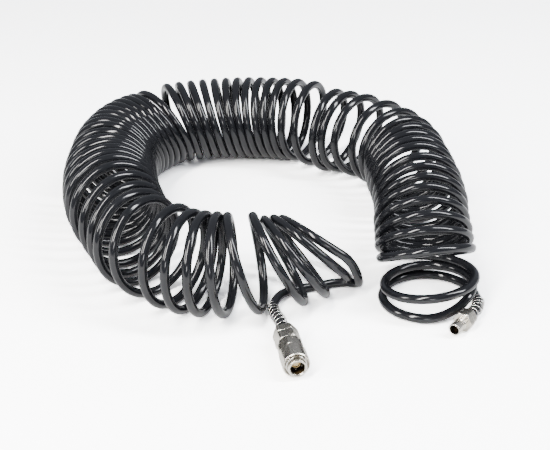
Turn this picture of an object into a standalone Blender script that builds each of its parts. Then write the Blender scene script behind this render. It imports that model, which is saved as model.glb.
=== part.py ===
"""Coiled recoil air hose with a quick coupler socket on one end and a plug on the other, lying on the floor.

Metres, +Z up, the floor at z = 0. The socket's mouth faces -Y. The hose runs from the plug through the flat
end loops, the bunched coil, the open turns and the fallen loops to the socket.
"""

import bmesh
import bpy
import numpy as np
from mathutils import Matrix

MM = 0.001

# Hose and coil
HOSE_OD = 8.0 * MM
COIL_OD = 86.0 * MM
COIL_RIB_DEPTH = 2.4 * MM
COIL_SIDES = 20
POINTS_PER_TURN = 12
FACE_GAP = 0.3 * MM
HOSE_CUT_GAP = 2.5 * MM
FLOOR_GAP = 0.2

# Spring guards over the hose ends
GUARD_WIRE = 1.2 * MM
GUARD_CLEARANCE = 0.4 * MM
GUARD_PITCH = 3.6 * MM
GUARD_POINTS_PER_TURN = 12
SOCKET_GUARD_TURNS = 12
PLUG_GUARD_TURNS = 8

# Clearance of sliding and fitted metal
FIT_GAP = 0.3 * MM
ROUND_SIDES = 32

# Socket body, measured back from its mouth
BORE_OD = 11.2 * MM
BORE_DEPTH = 26.0 * MM
NOSE_WALL = 2.2 * MM
NOSE_LENGTH = 30.0 * MM
SHOULDER_LENGTH = 6.7 * MM
FLANGE_OD = 21.6 * MM
FLANGE_LENGTH = 8.0 * MM
MOUTH_CHAMFER = 0.8 * MM
STEM_OD = 4.6 * MM

# Locking balls and stop ring
BALL_OD = 3.0 * MM
BALL_SETBACK = 9.0 * MM
BALL_COUNT = 6
RING_WIRE = 1.2 * MM
RING_GROOVE_DEPTH = 0.7 * MM
RING_OPEN_DEGREES = 40.0

# Sliding sleeve
SLEEVE_SETBACK = 2.2 * MM
SLEEVE_OD = 23.0 * MM
SLEEVE_LENGTH = 31.0 * MM
SLEEVE_WALL = 1.5 * MM
SLEEVE_RELIEF = 1.6 * MM
SLEEVE_RELIEF_LENGTH = 4.0 * MM
SLEEVE_LIP_LENGTH = 5.4 * MM
SLEEVE_CHAMFER = 1.0 * MM
SLEEVE_TRAVEL = 3.0 * MM
SPRING_FILL = 0.45
SPRING_TURNS = 5

# Valve and seal
SEAL_SETBACK = 11.2 * MM
SEAL_WIRE = 1.4 * MM
VALVE_HEAD_LENGTH = 2.6 * MM
VALVE_STEM_LENGTH = 20.0 * MM
VALVE_SPRING_WIRE = 0.8 * MM
VALVE_SPRING_TURNS = 4
VALVE_TRAVEL = 3.0 * MM

# Hex adapter and hose nut behind the socket body
ADAPTER_FLATS = 19.0 * MM
ADAPTER_LENGTH = 12.5 * MM
SPIGOT_OD = 11.6 * MM
SPIGOT_LENGTH = 5.0 * MM
HEX_CHAMFER = 1.4 * MM
HOSE_BORE = 4.8 * MM
SOCKET_NUT_OD = 13.0 * MM
SOCKET_NUT_LENGTH = 5.0 * MM
BARB_OD = 6.4 * MM
BARB_LENGTH = 3.0 * MM

# Plug, measured back from its nose
PLUG_NOSE_OD = 10.6 * MM
PLUG_BORE = 7.0 * MM
PLUG_NOSE_LENGTH = 6.0 * MM
PLUG_NECK_OD = 8.9 * MM
PLUG_NECK_LENGTH = 4.0 * MM
PLUG_SHANK_LENGTH = 4.0 * MM
PLUG_HEX_FLATS = 16.0 * MM
PLUG_HEX_LENGTH = 6.0 * MM
PLUG_NUT_FLATS = 14.0 * MM
PLUG_NUT_LENGTH = 11.0 * MM

# Where the socket lies, and which way the plug faces, clockwise from -Y seen from above
SOCKET_MOUTH = (-20.0 * MM, -237.5 * MM)
PLUG_TURNED = 45.0

# The plug lies beside the end loop. Its nut's back end and the two points of its lead are given in degrees about
# the loop's centre and mm outside the relaxed coil's centreline, the lead's points with their height
END_LOOP_CENTRE = (114.0 * MM, -138.0 * MM)
PLUG_NUT_BACK = (-56.5, 8.3)
PLUG_LEAD = ((-36.7, 5.3, 7.3), (-24.8, 3.95, 6.5))

# Where each named stretch of the coil begins and ends, in turns from the plug
END_LOOPS = (0.25, 3.25)
BUNCHED = (3.8, 54.8)
OPEN_TURNS = (54.97, 59.5)
FALLEN_LOOPS = (59.5, 63.2)

# The coil's axis in mm and degrees: turn, centre x and y, azimuth and elevation of the axis, lift of the turn
# off the floor, and how far the turn is opened against the relaxed coil
STATIONS = (
    (0.25, 115, -139, 80, 90, 0.2, 1.03),
    (0.75, 114, -138, 80, 90, 0.2, 1.0),
    (1.0, 113, -135.5, 80, 90, 0.8, 1.0),
    (1.1, 111, -135, 80, 90, 5, 1.0),
    (1.2, 110, -141, 80, 90, 12.8, 1.0),
    (1.3, 113, -142, 80, 90, 13.2, 1.0),
    (1.5, 114, -141, 80, 88, 11, 1.0),
    (2.0, 114, -141, 80, 80, 9.2, 1.0),
    (2.5, 113, -134.5, 80, 72, 18.5, 1.0),
    (3.0, 113, -128.5, 80, 60, 19, 1.0),
    (4.0, 116, -112.5, 80, 47, 13, 1.0),
    (5.0, 120, -97, 80, 37, 8, 1.0),
    (7.0, 129, -58, 80, 22, 0.2, 1.0),
    (8.0, 133, -45, 81, 17, 0.2, 1.0),
    (9.0, 136, -29, 82, 13, 0.2, 1.0),
    (10.0, 139, -12, 84, 10, 0.2, 1.0),
    (11.0, 141, 9, 87, 8, 0.2, 1.0),
    (12.0, 142, 22, 90, 6, 0.2, 1.0),
    (13.0, 142.5, 34, 94, 4, 0.2, 1.0),
    (15.0, 144.5, 64, 104, 1, 0.2, 1.0),
    (17.0, 131, 105, 117, 1, 0.2, 1.0),
    (18.0, 115, 125, 121, 2, 0.2, 1.0),
    (19.0, 101, 135, 130, 2, 0.2, 1.0),
    (20.0, 89, 142, 136, 2, 0.2, 1.0),
    (21.0, 73, 166, 138, 0, 0.2, 1.0),
    (22.0, 60, 174, 143, -4, 0.2, 1.0),
    (24.0, 39, 182, 152, -8, 0.2, 1.0),
    (26.0, 18, 188, 160, -10, 0.2, 1.0),
    (28.0, -2.5, 192, 168, -12, 0.2, 1.0),
    (30.0, -24, 194, 175, -14, 0.2, 1.0),
    (32.0, -46, 194.4, 182, -16, 0.2, 1.0),
    (33.0, -57, 194.1, 186, -17, 0.2, 1.0),
    (34.0, -76, 186, 203, -22, 0.2, 1.02),
    (36.0, -95, 171, 211, -20, 0.2, 1.04),
    (38.0, -111, 153, 219, -17, 0.2, 1.05),
    (41.0, -128, 121, 232, -12, 0.2, 1.05),
    (43.0, -134, 100, 240, -8, 0.2, 1.05),
    (44.0, -137, 83, 246, -6, 0.2, 1.05),
    (47.0, -141.6, 44, 266, -3, 0.2, 1.05),
    (50.0, -140, 1, 284, 0, 0.2, 1.05),
    (52.0, -132, -40, 298, 0, 0.2, 1.02),
    (53.0, -129, -56, 300, 0, 0.2, 1.02),
    (54.0, -122, -73, 306, 0, 0.2, 1.03),
    (55.0, -104, -97, 315, -2, 0.2, 1.05),
    (56.0, -92, -110, 324, -2, 0.2, 1.05),
    (57.0, -80, -117, 332, -1, 0.2, 1.05),
    (58.0, -67, -122, 340, 1, 0.2, 1.05),
    (59.0, -50, -123, 350, 9, 0.2, 1.04),
    (60.0, -20, -118, 358, 18, 0.2, 1.02),
    (60.3, -12, -116, 362, 23, 0.2, 1.02),
    (61.3, 3.5, -109.5, 370, 31, 0.2, 1.02),
    (62.3, 22, -89.5, 381, 40, 0.2, 1.02),
    (63.3, 35, -85, 388, 46, 0.2, 1.07),
)

# The socket's lead in mm, from the coil to the hose nut
SOCKET_LEAD = (
    (58, -116, 13),
    (59, -109, 7),
    (51, -101.5, 4.2),
    (40, -100.5, 4.2),
    (25, -103, 4.2),
    (6, -105.5, 4.5),
    (-8, -112, 5.2),
    (-16, -123, 6),
    (-20.8, -138, 7.2),
    (-21.4, -151, 9.2),
)


def clear_scene():
    for found in list(bpy.data.objects):
        bpy.data.objects.remove(found, do_unlink=True)


def material(name, colour, roughness, metallic):
    made = bpy.data.materials.new(name)
    made.use_nodes = True
    shader = made.node_tree.nodes["Principled BSDF"]
    shader.inputs["Base Color"].default_value = (*colour, 1.0)
    shader.inputs["Roughness"].default_value = roughness
    shader.inputs["Metallic"].default_value = metallic
    return made


def hose_plastic(name):
    return material(name, (0.018, 0.019, 0.022), 0.22, 0.0)


def nickel(name):
    return material(name, (0.70, 0.68, 0.64), 0.28, 1.0)


def brass(name):
    return material(name, (0.72, 0.55, 0.28), 0.3, 1.0)


def steel(name):
    return material(name, (0.62, 0.62, 0.62), 0.25, 1.0)


def seal_rubber(name):
    return material(name, (0.02, 0.02, 0.02), 0.6, 0.0)


def add(name, data, paint, parent=None):
    made = bpy.data.objects.new(name, data)
    bpy.context.scene.collection.objects.link(made)
    data.materials.append(paint)
    made.parent = parent
    return made


def frame_at(name, x, y, height, turned):
    """An empty on a coupler's axis at its front face. Its own +Y runs back along the axis."""
    made = bpy.data.objects.new(name, None)
    bpy.context.scene.collection.objects.link(made)
    made.location = (x, y, height)
    made.rotation_euler = (0.0, 0.0, -np.radians(turned))
    return made


def smooth_round(mesh):
    mesh.shade_smooth()
    mesh.set_sharp_from_angle(angle=np.radians(35))


def turned(name, profile, paint, parent, sides=ROUND_SIDES):
    """A body turned about its own Y from a closed outline of (distance back, radius) points."""
    shape = bmesh.new()
    dots = [shape.verts.new((radius, back, 0.0)) for back, radius in profile]
    edges = [shape.edges.new((dots[i], dots[(i + 1) % len(dots)])) for i in range(len(dots))]
    bmesh.ops.spin(
        shape,
        geom=dots + edges,
        cent=(0, 0, 0),
        axis=(0, 1, 0),
        angle=2 * np.pi,
        steps=sides,
        use_merge=True,
    )
    bmesh.ops.remove_doubles(shape, verts=shape.verts, dist=1e-6)
    bmesh.ops.dissolve_degenerate(shape, edges=shape.edges, dist=1e-6)
    bmesh.ops.recalc_face_normals(shape, faces=shape.faces)
    mesh = bpy.data.meshes.new(name)
    shape.to_mesh(mesh)
    shape.free()
    smooth_round(mesh)
    return add(name, mesh, paint, parent)


def cutter(name, mesh, parent):
    made = bpy.data.objects.new(name, mesh)
    bpy.context.scene.collection.objects.link(made)
    made.parent = parent
    made.hide_render = True
    made.display_type = "WIRE"
    return made


def cut(target, tool, operation):
    step = target.modifiers.new(tool.name, "BOOLEAN")
    step.operation = operation
    step.object = tool
    step.solver = "EXACT"


def hex_cutter(name, flats, start, end, parent):
    """A hexagonal prism about Y with two flats level."""
    shape = bmesh.new()
    bmesh.ops.create_cone(
        shape,
        cap_ends=True,
        segments=6,
        radius1=flats / 2 / np.cos(np.pi / 6),
        radius2=flats / 2 / np.cos(np.pi / 6),
        depth=end - start,
        matrix=Matrix.Translation((0, (start + end) / 2, 0))
        @ Matrix.Rotation(np.pi / 6, 4, "Y")
        @ Matrix.Rotation(np.pi / 2, 4, "X"),
    )
    mesh = bpy.data.meshes.new(name)
    shape.to_mesh(mesh)
    shape.free()
    return cutter(name, mesh, parent)


def radial_cutter(name, diameter, back, reach, degrees, parent):
    """A short bar across the wall at one angle about Y."""
    shape = bmesh.new()
    turn = Matrix.Rotation(np.radians(degrees), 4, "Y")
    bmesh.ops.create_cone(
        shape,
        cap_ends=True,
        segments=12,
        radius1=diameter / 2,
        radius2=diameter / 2,
        depth=reach,
        matrix=Matrix.Translation((0, back, 0)) @ turn @ Matrix.Translation((0, 0, reach / 2)),
    )
    mesh = bpy.data.meshes.new(name)
    shape.to_mesh(mesh)
    shape.free()
    return cutter(name, mesh, parent)


def tube(name, points, diameter, resolution, paint):
    """A round bar along a list of points, with closed ends."""
    curve = bpy.data.curves.new(name, "CURVE")
    curve.dimensions = "3D"
    curve.bevel_depth = diameter / 2
    curve.bevel_resolution = resolution
    curve.use_fill_caps = True
    line = curve.splines.new("POLY")
    line.points.add(len(points) - 1)
    for dot, place in zip(line.points, points):
        dot.co = (*place, 1.0)
    return add(name, curve, paint)


def smooth(at, knots, values):
    """A cubic through the values at the knots, each slope taken from the neighbours."""
    slope = np.gradient(values, knots, axis=0)
    i = np.clip(np.searchsorted(knots, at, side="right") - 1, 0, len(knots) - 2)
    width = (knots[i + 1] - knots[i])[:, None]
    s = ((at - knots[i]) / (knots[i + 1] - knots[i]))[:, None]
    return (
        (2 * s**3 - 3 * s**2 + 1) * values[i]
        + (s**3 - 2 * s**2 + s) * width * slope[i]
        + (3 * s**2 - 2 * s**3) * values[i + 1]
        + (s**3 - s**2) * width * slope[i + 1]
    )


def turn_circles(turns):
    """Centre, near side and top directions, and radius of the coil's circle at each turn number."""
    table = np.array(STATIONS, float)
    x, y, azimuth, elevation, lift, opened = smooth(turns, table[:, 0], table[:, 1:]).T
    azimuth, elevation = np.radians(azimuth), np.radians(elevation)
    radius = opened * (COIL_OD - HOSE_OD) / 2
    height = HOSE_OD / 2 + radius * np.cos(elevation) + np.maximum(lift, FLOOR_GAP) * MM
    centre = np.stack([x * MM, y * MM, height], 1)
    side = np.stack([-np.sin(azimuth), np.cos(azimuth), 0 * azimuth], 1)
    top = np.stack(
        [-np.cos(azimuth) * np.sin(elevation), -np.sin(azimuth) * np.sin(elevation), np.cos(elevation)], 1
    )
    return centre, side, top, radius


def coil_points(start, end):
    """Points along the hose itself, a fixed number for each turn."""
    turns = np.linspace(start, end, int(np.ceil((end - start) * POINTS_PER_TURN)) + 1)
    centre, side, top, radius = turn_circles(turns)
    angle = 2 * np.pi * turns[:, None]
    return centre + radius[:, None] * (np.cos(angle) * top - np.sin(angle) * side)


def through(points, step):
    """Evenly spaced points on a smooth curve through the given ones."""
    points = np.array(points, float)
    along = np.r_[0, np.cumsum(np.linalg.norm(np.diff(points, axis=0), axis=1))]
    return smooth(np.linspace(0, along[-1], int(along[-1] / step) + 2), along, points)


def trimmed(points, amount):
    """The points with the last one drawn back along the line."""
    last = points[-1] - points[-2]
    points[-1] -= last / np.linalg.norm(last) * amount
    return points


def ribbed_coil(name, start, end, paint):
    """One closed body of the bunched coil's outer shape, with a rib for each turn."""
    turns = np.arange(start, end + 0.01, 0.5)
    centre, side, top, radius = turn_circles(turns)
    rim = radius + HOSE_OD / 2 - COIL_RIB_DEPTH * (np.arange(len(turns)) % 2)
    shape = bmesh.new()
    rings = []
    for c, s, t, r in zip(centre, side, top, rim):
        angles = [2 * np.pi * k / COIL_SIDES for k in range(COIL_SIDES)]
        rings.append([shape.verts.new(c + r * (np.cos(a) * t - np.sin(a) * s)) for a in angles])
    for one, two in zip(rings, rings[1:]):
        for k in range(COIL_SIDES):
            n = (k + 1) % COIL_SIDES
            shape.faces.new((one[k], one[n], two[n], two[k]))
    shape.faces.new(rings[0])
    shape.faces.new(rings[-1])
    bmesh.ops.recalc_face_normals(shape, faces=shape.faces)
    mesh = bpy.data.meshes.new(name)
    shape.to_mesh(mesh)
    shape.free()
    return add(name, mesh, paint)


def helix(path, radius, pitch, turns, per_turn):
    """Points of a spring wound round a path, starting at the path's first point."""
    along = np.r_[0, np.cumsum(np.linalg.norm(np.diff(path, axis=0), axis=1))]
    at = np.linspace(0, pitch * turns, turns * per_turn + 1)
    spot = np.stack([np.interp(at, along, path[:, k]) for k in range(3)], 1)
    ahead = np.gradient(spot, axis=0)
    ahead /= np.linalg.norm(ahead, axis=1)[:, None]
    across = np.cross(ahead, (0, 0, 1))
    across /= np.linalg.norm(across, axis=1)[:, None]
    above = np.cross(across, ahead)
    angle = 2 * np.pi * (at / pitch)[:, None]
    return spot + radius * (np.cos(angle) * above + np.sin(angle) * across)


def straight_spring(name, start, end, radius, wire, turns, parent, paint):
    """A spring about a coupler's axis, between two distances back from its front face."""
    first, last = start + wire / 2, end - wire / 2
    line = np.array([(0, first, 0), (0, last, 0)])
    made = tube(name, helix(line, radius, (last - first) / turns, turns, 12), wire, 2, paint)
    made.parent = parent
    return made


def nose_radius():
    return BORE_OD / 2 + NOSE_WALL


def sleeve_cavity_radius():
    return SLEEVE_OD / 2 - SLEEVE_WALL


def shoulder_end():
    return NOSE_LENGTH + SHOULDER_LENGTH


def body_end():
    return shoulder_end() + FLANGE_LENGTH


def adapter_end():
    return body_end() + FIT_GAP + ADAPTER_LENGTH


def socket_end():
    return adapter_end() + FIT_GAP + SOCKET_NUT_LENGTH


def lip_start():
    return SLEEVE_SETBACK + SLEEVE_RELIEF_LENGTH


def ring_setback():
    return lip_start() - FIT_GAP - RING_WIRE / 2


def valve_front():
    return SEAL_SETBACK + SEAL_WIRE / 2 + FIT_GAP


def socket_body(axis):
    """Nose tube with its bore, ball holes and ring groove, the shoulder and the flange, in one piece."""
    groove = ring_setback()
    half = RING_WIRE / 2 + FIT_GAP
    shoulder = sleeve_cavity_radius() - FIT_GAP
    profile = (
        (0, BORE_OD / 2 + MOUTH_CHAMFER),
        (0, nose_radius() - MOUTH_CHAMFER / 2),
        (MOUTH_CHAMFER / 2, nose_radius()),
        (groove - half, nose_radius()),
        (groove - half, nose_radius() - RING_GROOVE_DEPTH),
        (groove + half, nose_radius() - RING_GROOVE_DEPTH),
        (groove + half, nose_radius()),
        (NOSE_LENGTH, nose_radius()),
        (NOSE_LENGTH, shoulder),
        (shoulder_end(), shoulder),
        (shoulder_end(), FLANGE_OD / 2),
        (body_end(), FLANGE_OD / 2),
        (body_end(), SPIGOT_OD / 2 + FIT_GAP),
        (body_end() - SPIGOT_LENGTH - FIT_GAP, SPIGOT_OD / 2 + FIT_GAP),
        (body_end() - SPIGOT_LENGTH - FIT_GAP, STEM_OD / 2 + FIT_GAP),
        (BORE_DEPTH, STEM_OD / 2 + FIT_GAP),
        (BORE_DEPTH, BORE_OD / 2),
        (MOUTH_CHAMFER, BORE_OD / 2),
    )
    made = turned("socket_body", profile, nickel("nickel_body"), axis)
    for k in range(BALL_COUNT):
        name = f"ball_hole_{k + 1}"
        degrees = 360 / BALL_COUNT * k
        tool = radial_cutter(name, BALL_OD + 2 * FIT_GAP, BALL_SETBACK, NOSE_LENGTH / 2, degrees, axis)
        cut(made, tool, "DIFFERENCE")


def locking_balls(axis):
    """The balls sit in the nose wall, under the sleeve's lip, and stand a little into the bore."""
    out = nose_radius() - BALL_OD / 2
    for k in range(BALL_COUNT):
        shape = bmesh.new()
        turn = Matrix.Rotation(2 * np.pi / BALL_COUNT * k, 4, "Y")
        place = Matrix.Translation((0, BALL_SETBACK, 0)) @ turn @ Matrix.Translation((0, 0, out))
        bmesh.ops.create_icosphere(shape, subdivisions=2, radius=BALL_OD / 2, matrix=place)
        mesh = bpy.data.meshes.new(f"locking_ball_{k + 1}")
        shape.to_mesh(mesh)
        shape.free()
        mesh.shade_smooth()
        add(f"locking_ball_{k + 1}", mesh, steel(f"steel_ball_{k + 1}"), axis)


def stop_ring(axis):
    """The open wire ring in the nose's groove that stops the sleeve."""
    radius = nose_radius() - RING_GROOVE_DEPTH + FIT_GAP + RING_WIRE / 2
    half = np.radians(RING_OPEN_DEGREES / 2)
    angles = np.linspace(half, 2 * np.pi - half, 33)
    points = [(radius * np.sin(a), ring_setback(), radius * np.cos(a)) for a in angles]
    made = tube("socket_stop_ring", points, RING_WIRE, 2, steel("steel_ring"))
    made.parent = axis


def sleeve(axis):
    """The release sleeve, with the balls' relief, the lip over the balls and the spring's chamber."""
    front, back = SLEEVE_SETBACK, SLEEVE_SETBACK + SLEEVE_LENGTH
    relief = nose_radius() + SLEEVE_RELIEF
    lip = nose_radius() + FIT_GAP
    outer, edge = SLEEVE_OD / 2, SLEEVE_CHAMFER
    profile = (
        (front, relief),
        (front, outer - edge),
        (front + edge, outer),
        (back - edge, outer),
        (back, outer - edge / 2),
        (back, sleeve_cavity_radius()),
        (lip_start() + SLEEVE_LIP_LENGTH, sleeve_cavity_radius()),
        (lip_start() + SLEEVE_LIP_LENGTH, lip),
        (lip_start(), lip),
        (lip_start(), relief),
    )
    turned("socket_sleeve", profile, nickel("nickel_sleeve"), axis)


def sleeve_spring(axis):
    """Drawn at its length with the sleeve pulled right back, so that it clears the sleeve all the way."""
    radius = (nose_radius() + sleeve_cavity_radius()) / 2
    wire = SPRING_FILL * (sleeve_cavity_radius() - nose_radius())
    start = lip_start() + SLEEVE_LIP_LENGTH + SLEEVE_TRAVEL + FIT_GAP
    end = NOSE_LENGTH - FIT_GAP
    paint = steel("steel_sleeve_spring")
    straight_spring("socket_sleeve_spring", start, end, radius, wire, SPRING_TURNS, axis, paint)


def valve(axis):
    """The brass poppet: a dished head that shuts against the seal, and the stem that guides it."""
    front = valve_front()
    head = BORE_OD / 2 - FIT_GAP
    profile = (
        (front + 0.6 * MM, 0),
        (front + 0.6 * MM, head * 0.45),
        (front, head * 0.62),
        (front, head - 0.5 * MM),
        (front + 0.5 * MM, head),
        (front + VALVE_HEAD_LENGTH, head),
        (front + VALVE_HEAD_LENGTH, STEM_OD / 2),
        (front + VALVE_HEAD_LENGTH + VALVE_STEM_LENGTH, STEM_OD / 2),
        (front + VALVE_HEAD_LENGTH + VALVE_STEM_LENGTH, 0),
    )
    turned("socket_valve", profile, brass("brass_valve"), axis, 24)


def valve_spring(axis):
    """Drawn at its length with the valve pushed right in."""
    radius = (BORE_OD / 2 + STEM_OD / 2) / 2
    start = valve_front() + VALVE_HEAD_LENGTH + VALVE_TRAVEL + FIT_GAP
    paint = steel("steel_valve_spring")
    straight_spring(
        "socket_valve_spring",
        start,
        BORE_DEPTH - FIT_GAP,
        radius,
        VALVE_SPRING_WIRE,
        VALVE_SPRING_TURNS,
        axis,
        paint,
    )


def seal(axis):
    """The rubber ring in front of the valve, a torus about the axis."""
    centre = BORE_OD / 2 - FIT_GAP - SEAL_WIRE / 2
    angles = [2 * np.pi * k / 10 for k in range(10)]
    profile = [(SEAL_SETBACK + SEAL_WIRE / 2 * np.sin(a), centre + SEAL_WIRE / 2 * np.cos(a)) for a in angles]
    turned("socket_seal", profile, seal_rubber("rubber_seal"), axis, 24)


def adapter(axis):
    """The hex adapter: a spigot into the body, the hex, and the barb that takes the hose nut."""
    start, end = body_end() + FIT_GAP, adapter_end()
    corner = ADAPTER_FLATS / 2 / np.cos(np.pi / 6)
    profile = (
        (body_end() - SPIGOT_LENGTH, HOSE_BORE / 2),
        (body_end() - SPIGOT_LENGTH, SPIGOT_OD / 2),
        (start, SPIGOT_OD / 2),
        (start, corner - HEX_CHAMFER),
        (start + HEX_CHAMFER * 0.6, corner),
        (end - HEX_CHAMFER * 0.6, corner),
        (end, corner - HEX_CHAMFER),
        (end, BARB_OD / 2),
        (end + BARB_LENGTH, BARB_OD / 2),
        (end + BARB_LENGTH, HOSE_BORE / 2),
    )
    made = turned("socket_adapter", profile, nickel("nickel_adapter"), axis)
    tool = hex_cutter("adapter_hex", ADAPTER_FLATS, body_end() - 2 * SPIGOT_LENGTH, end + 2 * BARB_LENGTH, axis)
    cut(made, tool, "INTERSECT")


def socket_hose_nut(axis):
    start, end = adapter_end() + FIT_GAP, socket_end()
    outer = SOCKET_NUT_OD / 2
    profile = (
        (start, BARB_OD / 2 + FIT_GAP),
        (start, outer),
        (end - MM, outer),
        (end, outer - MM),
        (end, HOSE_BORE / 2),
        (start + BARB_LENGTH + FIT_GAP, HOSE_BORE / 2),
        (start + BARB_LENGTH + FIT_GAP, BARB_OD / 2 + FIT_GAP),
    )
    turned("socket_hose_nut", profile, nickel("nickel_socket_nut"), axis)


def plug_end():
    return plug_body_end() + FIT_GAP + PLUG_NUT_LENGTH


def plug_body_end():
    return PLUG_NOSE_LENGTH + PLUG_NECK_LENGTH + PLUG_SHANK_LENGTH + PLUG_HEX_LENGTH


def plug_body(axis):
    """Nose, neck for the balls, shank, hex and the barb inside the nut, with a bore right through."""
    nose, neck = PLUG_NOSE_OD / 2, PLUG_NECK_OD / 2
    neck_start = PLUG_NOSE_LENGTH
    neck_end = neck_start + PLUG_NECK_LENGTH
    hex_start = neck_end + PLUG_SHANK_LENGTH
    end = plug_body_end()
    corner = PLUG_HEX_FLATS / 2 / np.cos(np.pi / 6)
    slope = (PLUG_NOSE_OD - PLUG_NECK_OD) / 2
    profile = (
        (0, PLUG_BORE / 2),
        (0, nose - MOUTH_CHAMFER),
        (MOUTH_CHAMFER, nose),
        (neck_start - slope, nose),
        (neck_start, neck),
        (neck_end, neck),
        (neck_end + slope, nose),
        (hex_start, nose),
        (hex_start, corner - HEX_CHAMFER),
        (hex_start + HEX_CHAMFER * 0.6, corner),
        (end - HEX_CHAMFER * 0.6, corner),
        (end, corner - HEX_CHAMFER),
        (end, BARB_OD / 2),
        (end + 2 * BARB_LENGTH, BARB_OD / 2),
        (end + 2 * BARB_LENGTH, HOSE_BORE / 2),
        (hex_start, HOSE_BORE / 2),
        (hex_start, PLUG_BORE / 2),
    )
    made = turned("plug_body", profile, nickel("nickel_plug"), axis)
    tool = hex_cutter("plug_hex", PLUG_HEX_FLATS, -BARB_LENGTH, end + 3 * BARB_LENGTH, axis)
    cut(made, tool, "INTERSECT")


def plug_hose_nut(axis):
    start, end = plug_body_end() + FIT_GAP, plug_end()
    corner = PLUG_NUT_FLATS / 2 / np.cos(np.pi / 6)
    pocket = start + 2 * BARB_LENGTH + FIT_GAP
    profile = (
        (start, BARB_OD / 2 + FIT_GAP),
        (start, corner - HEX_CHAMFER / 2),
        (start + HEX_CHAMFER / 2, corner),
        (end - HEX_CHAMFER / 2, corner),
        (end, corner - HEX_CHAMFER / 2),
        (end, HOSE_BORE / 2),
        (pocket, HOSE_BORE / 2),
        (pocket, BARB_OD / 2 + FIT_GAP),
    )
    made = turned("plug_hose_nut", profile, nickel("nickel_plug_nut"), axis)
    tool = hex_cutter("plug_nut_hex", PLUG_NUT_FLATS, start - 2 * BARB_LENGTH, end + 2 * BARB_LENGTH, axis)
    cut(made, tool, "INTERSECT")


def back_of(front, turned_by, distance, height):
    """The point on a coupler's axis at a distance back from its front face."""
    angle = np.radians(turned_by)
    return np.array([front[0] + distance * np.sin(angle), front[1] + distance * np.cos(angle), height])


def round_end_loop(degrees, outside):
    """A point about the end loop's centre, so many mm outside the coil's centreline."""
    reach = (COIL_OD - HOSE_OD) / 2 + outside * MM
    angle = np.radians(degrees)
    return END_LOOP_CENTRE[0] + reach * np.cos(angle), END_LOOP_CENTRE[1] + reach * np.sin(angle)


def plug_nose():
    """Where the plug's front face lies, with its nut's back end in place beside the loop."""
    return back_of(round_end_loop(*PLUG_NUT_BACK), PLUG_TURNED, -plug_end(), 0.0)[:2]


def hose(socket_height, plug_height):
    """The hose's own solids: two leads with their loops, the open turns and the bunched coil."""
    socket_nut = back_of(SOCKET_MOUTH, 0.0, socket_end(), socket_height)
    plug_nut = back_of(plug_nose(), PLUG_TURNED, plug_end(), plug_height)
    away = back_of(plug_nose(), PLUG_TURNED, plug_end() + HOSE_OD, plug_height)
    beside = [(*round_end_loop(degrees, outside), height * MM) for degrees, outside, height in PLUG_LEAD]
    loops = coil_points(*END_LOOPS)
    plug_lead = np.vstack([plug_nut, away, beside, loops[:1]])
    plug_lead = through(plug_lead, HOSE_OD)
    behind = back_of(SOCKET_MOUTH, 0.0, socket_end() + HOSE_OD, socket_height)
    fallen = coil_points(*FALLEN_LOOPS)
    socket_lead = np.vstack([fallen[-1:], MM * np.array(SOCKET_LEAD), behind, socket_nut])
    socket_lead = through(socket_lead, HOSE_OD)
    end_loops = trimmed(np.vstack([plug_lead[:-1], loops])[::-1], FACE_GAP)
    tube("hose_end_loops", end_loops, HOSE_OD, 2, hose_plastic("plastic_end_loops"))
    ribbed_coil("hose_coil", *BUNCHED, hose_plastic("plastic_coil"))
    open_turns = trimmed(coil_points(*OPEN_TURNS), HOSE_CUT_GAP)
    tube("hose_open_turns", open_turns, HOSE_OD, 2, hose_plastic("plastic_open_turns"))
    fallen_and_lead = trimmed(np.vstack([fallen[:-1], socket_lead]), FACE_GAP)
    tube("hose_fallen_loops", fallen_and_lead, HOSE_OD, 2, hose_plastic("plastic_fallen_loops"))
    return plug_lead, socket_lead[::-1]


def guard(name, path, turns, paint):
    """The wire guard wound round a lead, its first turn against the hose nut."""
    radius = HOSE_OD / 2 + GUARD_CLEARANCE + GUARD_WIRE / 2
    start = GUARD_WIRE / 2 + FACE_GAP
    along = np.r_[0, np.cumsum(np.linalg.norm(np.diff(path, axis=0), axis=1))]
    steps = np.linspace(start, start + GUARD_PITCH * turns, 12 * turns)
    line = smooth(steps, along, path)
    tube(name, helix(line, radius, GUARD_PITCH, turns, GUARD_POINTS_PER_TURN), GUARD_WIRE, 2, paint)


def main():
    clear_scene()
    socket_height = SLEEVE_OD / 2
    plug_height = PLUG_HEX_FLATS / 2
    socket_axis = frame_at("socket_axis", *SOCKET_MOUTH, socket_height, 0.0)
    plug_axis = frame_at("plug_axis", *plug_nose(), plug_height, PLUG_TURNED)
    socket_body(socket_axis)
    locking_balls(socket_axis)
    stop_ring(socket_axis)
    sleeve(socket_axis)
    sleeve_spring(socket_axis)
    seal(socket_axis)
    valve(socket_axis)
    valve_spring(socket_axis)
    adapter(socket_axis)
    socket_hose_nut(socket_axis)
    plug_body(plug_axis)
    plug_hose_nut(plug_axis)
    plug_path, socket_path = hose(socket_height, plug_height)
    guard("socket_spring_guard", socket_path, SOCKET_GUARD_TURNS, steel("steel_socket_guard"))
    guard("plug_spring_guard", plug_path, PLUG_GUARD_TURNS, steel("steel_plug_guard"))


main()
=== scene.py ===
# %% [markdown]
# # Coiled air hose
#
# A black recoil hose lies on a pale floor, bunched into an open ring. One end carries a quick coupler
# socket and the other a plug. The CAD model gives the sizes and places. This notebook makes the same
# object in the detail that a photograph shows: the real helix in place of the fat ribbed tube, rounded
# metal edges, wire guards and materials with wear.
#
# ## Load the frame
#
# The frame holds the CAD solids, one object for each piece, and the bodies that move. Everything made
# below rides on one of those bodies. Lengths are in metres here, so MM turns a number of millimetres
# into metres.

# %% Load the frame
import math

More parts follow.
